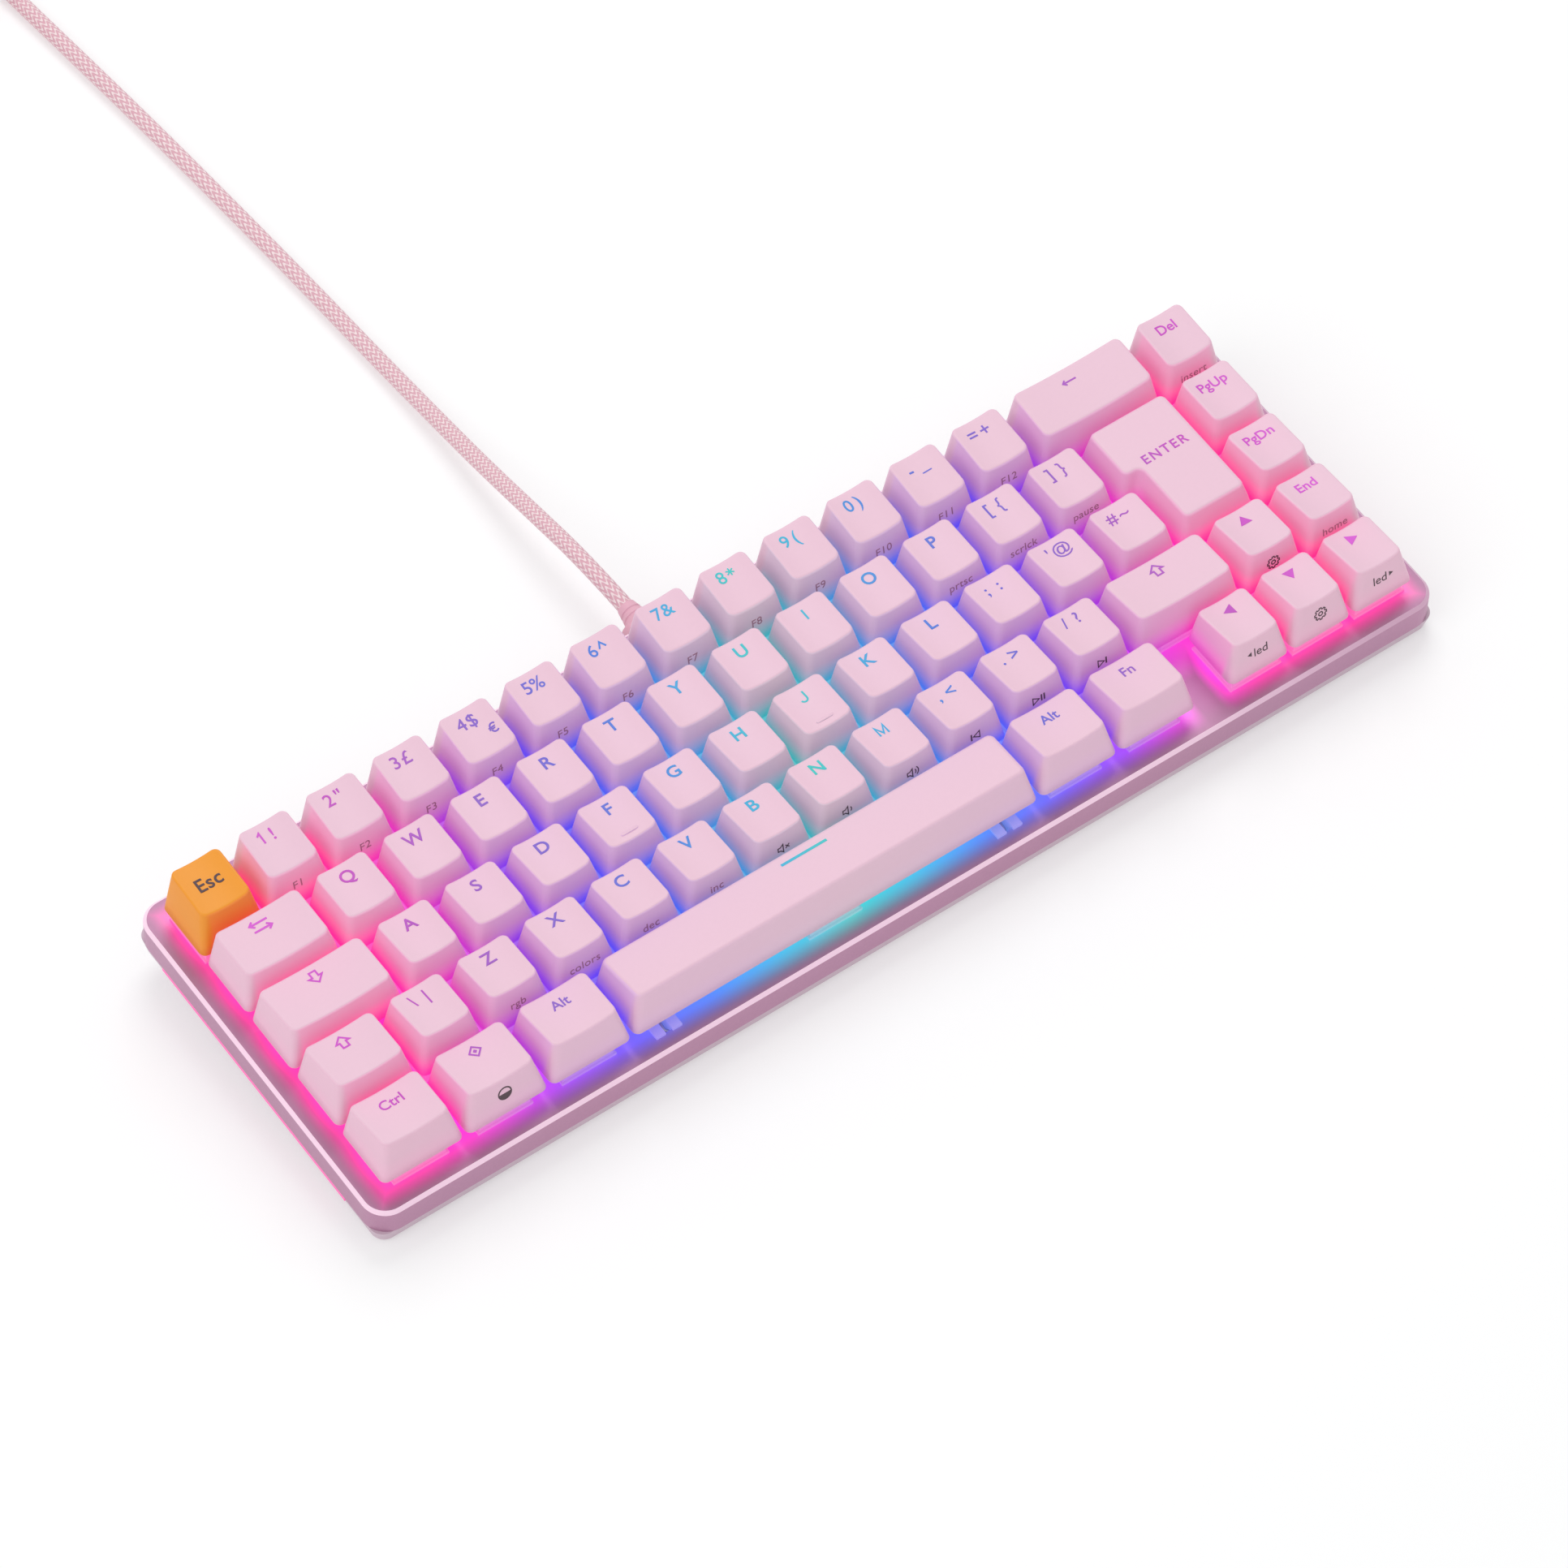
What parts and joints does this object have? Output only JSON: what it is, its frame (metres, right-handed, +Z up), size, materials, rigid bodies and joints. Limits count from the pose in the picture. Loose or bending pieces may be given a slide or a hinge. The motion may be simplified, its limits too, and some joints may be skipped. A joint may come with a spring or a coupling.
{
  "type": "mechanical keyboard",
  "caption": "Compact wired mechanical keyboard: metal key plate on a moulded wedge case, sculpted lit keycaps on sprung switches, braided cable.",
  "frame": {"origin": "on the desk, under the middle of the case's outline", "axes": "+X to the right along the rows, +Y to the back, +Z up"},
  "size_m": [0.3142, 0.4514, 0.0379],
  "materials": {
    "anodised_frame": "fine blasted, pink-mauve anodised, bright chamfer",
    "case_plastic": "fine matte",
    "diffuser": "milky, lit",
    "board": "solder mask",
    "lamp": "clear lens",
    "chip": "moulded",
    "switch_body": "milky",
    "steel": "drawn",
    "contact": "stamped",
    "guide_plastic": "moulded",
    "keycap_pink": "fine matte, two-shot, legends let light through",
    "keycap_orange": "fine matte",
    "pad_rubber": "matte",
    "plug_plastic": "fine matte",
    "plug_metal": "nickel",
    "braid": "woven sleeve",
    "strap": "hook and loop"
  },
  "bodies": {
    "chassis": {"bottom_case": "case_plastic", "cable_coil": "braid", "cable_strain_relief": "plug_plastic", "case_screws": "steel", "circuit_board": "board", "circuit_chips": "chip", "coil_tie": "strap", "lights": "lamp", "rubber_pads": "pad_rubber", "side_light_bars": "diffuser", "stabiliser_housings": "guide_plastic", "switch_bases": "switch_body", "switch_contacts": "contact", "switch_lids": "switch_body", "switch_springs": "steel", "top_frame": "anodised_frame", "usb_a_plug": "plug_plastic", "usb_c_plug": "plug_plastic", "usb_cable": "braid", "usb_socket": "plug_metal"},
    "key_a": {"key_a": "keycap_pink"},
    "key_arrow_down": {"key_arrow_down": "keycap_pink"},
    "key_arrow_left": {"key_arrow_left": "keycap_pink"},
    "key_arrow_right": {"key_arrow_right": "keycap_pink"},
    "key_arrow_up": {"key_arrow_up": "keycap_pink"},
    "key_backspace": {"key_backspace": "keycap_pink"},
    "key_caps_lock": {"key_caps_lock": "keycap_pink"},
    "key_d": {"key_d": "keycap_pink"},
    "key_delete": {"key_delete": "keycap_pink"},
    "key_end": {"key_end": "keycap_pink"},
    "key_enter": {"key_enter": "keycap_pink"},
    "key_esc": {"key_esc": "keycap_orange"},
    "key_f": {"key_f": "keycap_pink"},
    "key_fn": {"key_fn": "keycap_pink"},
    "key_g": {"key_g": "keycap_pink"},
    "key_h": {"key_h": "keycap_pink"},
    "key_j": {"key_j": "keycap_pink"},
    "key_k": {"key_k": "keycap_pink"},
    "key_l": {"key_l": "keycap_pink"},
    "key_left_alt": {"key_left_alt": "keycap_pink"},
    "key_left_ctrl": {"key_left_ctrl": "keycap_pink"},
    "key_left_shift": {"key_left_shift": "keycap_pink"},
    "key_page_down": {"key_page_down": "keycap_pink"},
    "key_page_up": {"key_page_up": "keycap_pink"},
    "key_quote": {"key_quote": "keycap_pink"},
    "key_right_alt": {"key_right_alt": "keycap_pink"},
    "key_right_shift": {"key_right_shift": "keycap_pink"},
    "key_s": {"key_s": "keycap_pink"},
    "key_semicolon": {"key_semicolon": "keycap_pink"},
    "key_space": {"key_space": "keycap_pink"},
    "key_system": {"key_system": "keycap_pink"},
    "key_tab": {"key_tab": "keycap_pink"},
    "lower_letter_keys": {"lower_letter_keys": "keycap_pink"},
    "number_keys": {"number_keys": "keycap_pink"},
    "upper_letter_keys": {"upper_letter_keys": "keycap_pink"},
    "stabiliser_wire_space": {"stabiliser_wire_space": "steel"},
    "stabiliser_wire_backspace": {"stabiliser_wire_backspace": "steel"},
    "stabiliser_wire_enter": {"stabiliser_wire_enter": "steel"},
    "fold_foot_left": {"fold_foot_left": "case_plastic"},
    "fold_foot_right": {"fold_foot_right": "case_plastic"}
  },
  "joints": [
    {"name": "key_a_press", "type": "slide", "parent": "chassis", "child": "key_a", "axis": [0, 0.0698, -0.9976], "range_m": [0, 0.004], "stiffness_N_per_m": 62, "springref_m": -0.0056, "deforming": ["switch_springs"]},
    {"name": "key_arrow_down_press", "type": "slide", "parent": "chassis", "child": "key_arrow_down", "axis": [0, 0.0698, -0.9976], "range_m": [0, 0.004], "stiffness_N_per_m": 62, "springref_m": -0.0056},
    {"name": "key_arrow_left_press", "type": "slide", "parent": "chassis", "child": "key_arrow_left", "axis": [0, 0.0698, -0.9976], "range_m": [0, 0.004], "stiffness_N_per_m": 62, "springref_m": -0.0056},
    {"name": "key_arrow_right_press", "type": "slide", "parent": "chassis", "child": "key_arrow_right", "axis": [0, 0.0698, -0.9976], "range_m": [0, 0.004], "stiffness_N_per_m": 62, "springref_m": -0.0056},
    {"name": "key_arrow_up_press", "type": "slide", "parent": "chassis", "child": "key_arrow_up", "axis": [0, 0.0698, -0.9976], "range_m": [0, 0.004], "stiffness_N_per_m": 62, "springref_m": -0.0056},
    {"name": "key_backspace_press", "type": "slide", "parent": "chassis", "child": "key_backspace", "axis": [0, 0.0698, -0.9976], "range_m": [0, 0.004], "stiffness_N_per_m": 62, "springref_m": -0.0056},
    {"name": "key_caps_lock_press", "type": "slide", "parent": "chassis", "child": "key_caps_lock", "axis": [0, 0.0698, -0.9976], "range_m": [0, 0.004], "stiffness_N_per_m": 62, "springref_m": -0.0056},
    {"name": "key_d_press", "type": "slide", "parent": "chassis", "child": "key_d", "axis": [0, 0.0698, -0.9976], "range_m": [0, 0.004], "stiffness_N_per_m": 62, "springref_m": -0.0056},
    {"name": "key_delete_press", "type": "slide", "parent": "chassis", "child": "key_delete", "axis": [0, 0.0698, -0.9976], "range_m": [0, 0.004], "stiffness_N_per_m": 62, "springref_m": -0.0056},
    {"name": "key_end_press", "type": "slide", "parent": "chassis", "child": "key_end", "axis": [0, 0.0698, -0.9976], "range_m": [0, 0.004], "stiffness_N_per_m": 62, "springref_m": -0.0056},
    {"name": "key_enter_press", "type": "slide", "parent": "chassis", "child": "key_enter", "axis": [0, 0.0698, -0.9976], "range_m": [0, 0.004], "stiffness_N_per_m": 62, "springref_m": -0.0056},
    {"name": "key_esc_press", "type": "slide", "parent": "chassis", "child": "key_esc", "axis": [0, 0.0698, -0.9976], "range_m": [0, 0.004], "stiffness_N_per_m": 62, "springref_m": -0.0056},
    {"name": "key_f_press", "type": "slide", "parent": "chassis", "child": "key_f", "axis": [0, 0.0698, -0.9976], "range_m": [0, 0.004], "stiffness_N_per_m": 62, "springref_m": -0.0056},
    {"name": "key_fn_press", "type": "slide", "parent": "chassis", "child": "key_fn", "axis": [0, 0.0698, -0.9976], "range_m": [0, 0.004], "stiffness_N_per_m": 62, "springref_m": -0.0056},
    {"name": "key_g_press", "type": "slide", "parent": "chassis", "child": "key_g", "axis": [0, 0.0698, -0.9976], "range_m": [0, 0.004], "stiffness_N_per_m": 62, "springref_m": -0.0056},
    {"name": "key_h_press", "type": "slide", "parent": "chassis", "child": "key_h", "axis": [0, 0.0698, -0.9976], "range_m": [0, 0.004], "stiffness_N_per_m": 62, "springref_m": -0.0056},
    {"name": "key_j_press", "type": "slide", "parent": "chassis", "child": "key_j", "axis": [0, 0.0698, -0.9976], "range_m": [0, 0.004], "stiffness_N_per_m": 62, "springref_m": -0.0056},
    {"name": "key_k_press", "type": "slide", "parent": "chassis", "child": "key_k", "axis": [0, 0.0698, -0.9976], "range_m": [0, 0.004], "stiffness_N_per_m": 62, "springref_m": -0.0056},
    {"name": "key_l_press", "type": "slide", "parent": "chassis", "child": "key_l", "axis": [0, 0.0698, -0.9976], "range_m": [0, 0.004], "stiffness_N_per_m": 62, "springref_m": -0.0056},
    {"name": "key_left_alt_press", "type": "slide", "parent": "chassis", "child": "key_left_alt", "axis": [0, 0.0698, -0.9976], "range_m": [0, 0.004], "stiffness_N_per_m": 62, "springref_m": -0.0056},
    {"name": "key_left_ctrl_press", "type": "slide", "parent": "chassis", "child": "key_left_ctrl", "axis": [0, 0.0698, -0.9976], "range_m": [0, 0.004], "stiffness_N_per_m": 62, "springref_m": -0.0056},
    {"name": "key_left_shift_press", "type": "slide", "parent": "chassis", "child": "key_left_shift", "axis": [0, 0.0698, -0.9976], "range_m": [0, 0.004], "stiffness_N_per_m": 62, "springref_m": -0.0056},
    {"name": "key_page_down_press", "type": "slide", "parent": "chassis", "child": "key_page_down", "axis": [0, 0.0698, -0.9976], "range_m": [0, 0.004], "stiffness_N_per_m": 62, "springref_m": -0.0056},
    {"name": "key_page_up_press", "type": "slide", "parent": "chassis", "child": "key_page_up", "axis": [0, 0.0698, -0.9976], "range_m": [0, 0.004], "stiffness_N_per_m": 62, "springref_m": -0.0056},
    {"name": "key_quote_press", "type": "slide", "parent": "chassis", "child": "key_quote", "axis": [0, 0.0698, -0.9976], "range_m": [0, 0.004], "stiffness_N_per_m": 62, "springref_m": -0.0056},
    {"name": "key_right_alt_press", "type": "slide", "parent": "chassis", "child": "key_right_alt", "axis": [0, 0.0698, -0.9976], "range_m": [0, 0.004], "stiffness_N_per_m": 62, "springref_m": -0.0056},
    {"name": "key_right_shift_press", "type": "slide", "parent": "chassis", "child": "key_right_shift", "axis": [0, 0.0698, -0.9976], "range_m": [0, 0.004], "stiffness_N_per_m": 62, "springref_m": -0.0056},
    {"name": "key_s_press", "type": "slide", "parent": "chassis", "child": "key_s", "axis": [0, 0.0698, -0.9976], "range_m": [0, 0.004], "stiffness_N_per_m": 62, "springref_m": -0.0056},
    {"name": "key_semicolon_press", "type": "slide", "parent": "chassis", "child": "key_semicolon", "axis": [0, 0.0698, -0.9976], "range_m": [0, 0.004], "stiffness_N_per_m": 62, "springref_m": -0.0056},
    {"name": "key_space_press", "type": "slide", "parent": "chassis", "child": "key_space", "axis": [0, 0.0698, -0.9976], "range_m": [0, 0.004], "stiffness_N_per_m": 62, "springref_m": -0.0056},
    {"name": "key_system_press", "type": "slide", "parent": "chassis", "child": "key_system", "axis": [0, 0.0698, -0.9976], "range_m": [0, 0.004], "stiffness_N_per_m": 62, "springref_m": -0.0056},
    {"name": "key_tab_press", "type": "slide", "parent": "chassis", "child": "key_tab", "axis": [0, 0.0698, -0.9976], "range_m": [0, 0.004], "stiffness_N_per_m": 62, "springref_m": -0.0056},
    {"name": "lower_letter_keys_press", "type": "slide", "parent": "chassis", "child": "lower_letter_keys", "axis": [0, 0.0698, -0.9976], "range_m": [0, 0.004], "stiffness_N_per_m": 744, "springref_m": -0.0056},
    {"name": "number_keys_press", "type": "slide", "parent": "chassis", "child": "number_keys", "axis": [0, 0.0698, -0.9976], "range_m": [0, 0.004], "stiffness_N_per_m": 744, "springref_m": -0.0056},
    {"name": "upper_letter_keys_press", "type": "slide", "parent": "chassis", "child": "upper_letter_keys", "axis": [0, 0.0698, -0.9976], "range_m": [0, 0.004], "stiffness_N_per_m": 744, "springref_m": -0.0056},
    {"name": "space_wire_swing", "type": "hinge", "parent": "chassis", "child": "stabiliser_wire_space", "pos_m": [-0.02143, -0.04674, 0.0109], "axis": [-1, 0, 0], "range_deg": [0, 26]},
    {"name": "backspace_wire_swing", "type": "hinge", "parent": "chassis", "child": "stabiliser_wire_backspace", "pos_m": [0.1143, 0.02928, 0.01621], "axis": [-1, 0, 0], "range_deg": [0, 26]},
    {"name": "enter_wire_swing", "type": "hinge", "parent": "chassis", "child": "stabiliser_wire_enter", "pos_m": [0.13004, 0.00935, 0.01482], "axis": [0, -0.9976, -0.0698], "range_deg": [0, 26]},
    {"name": "fold_foot_left_fold", "type": "hinge", "parent": "chassis", "child": "fold_foot_left", "pos_m": [-0.118, 0.016, 0.0028], "axis": [-1, 0, 0], "range_deg": [0, 90]},
    {"name": "fold_foot_right_fold", "type": "hinge", "parent": "chassis", "child": "fold_foot_right", "pos_m": [0.118, 0.016, 0.0028], "axis": [-1, 0, 0], "range_deg": [0, 90]}
  ],
  "couplings": [
    {"joint": "space_wire_swing", "follows": "key_space_press", "rad_per_m": 111.96},
    {"joint": "backspace_wire_swing", "follows": "key_backspace_press", "rad_per_m": 111.96},
    {"joint": "enter_wire_swing", "follows": "key_enter_press", "rad_per_m": 111.96}
  ]
}
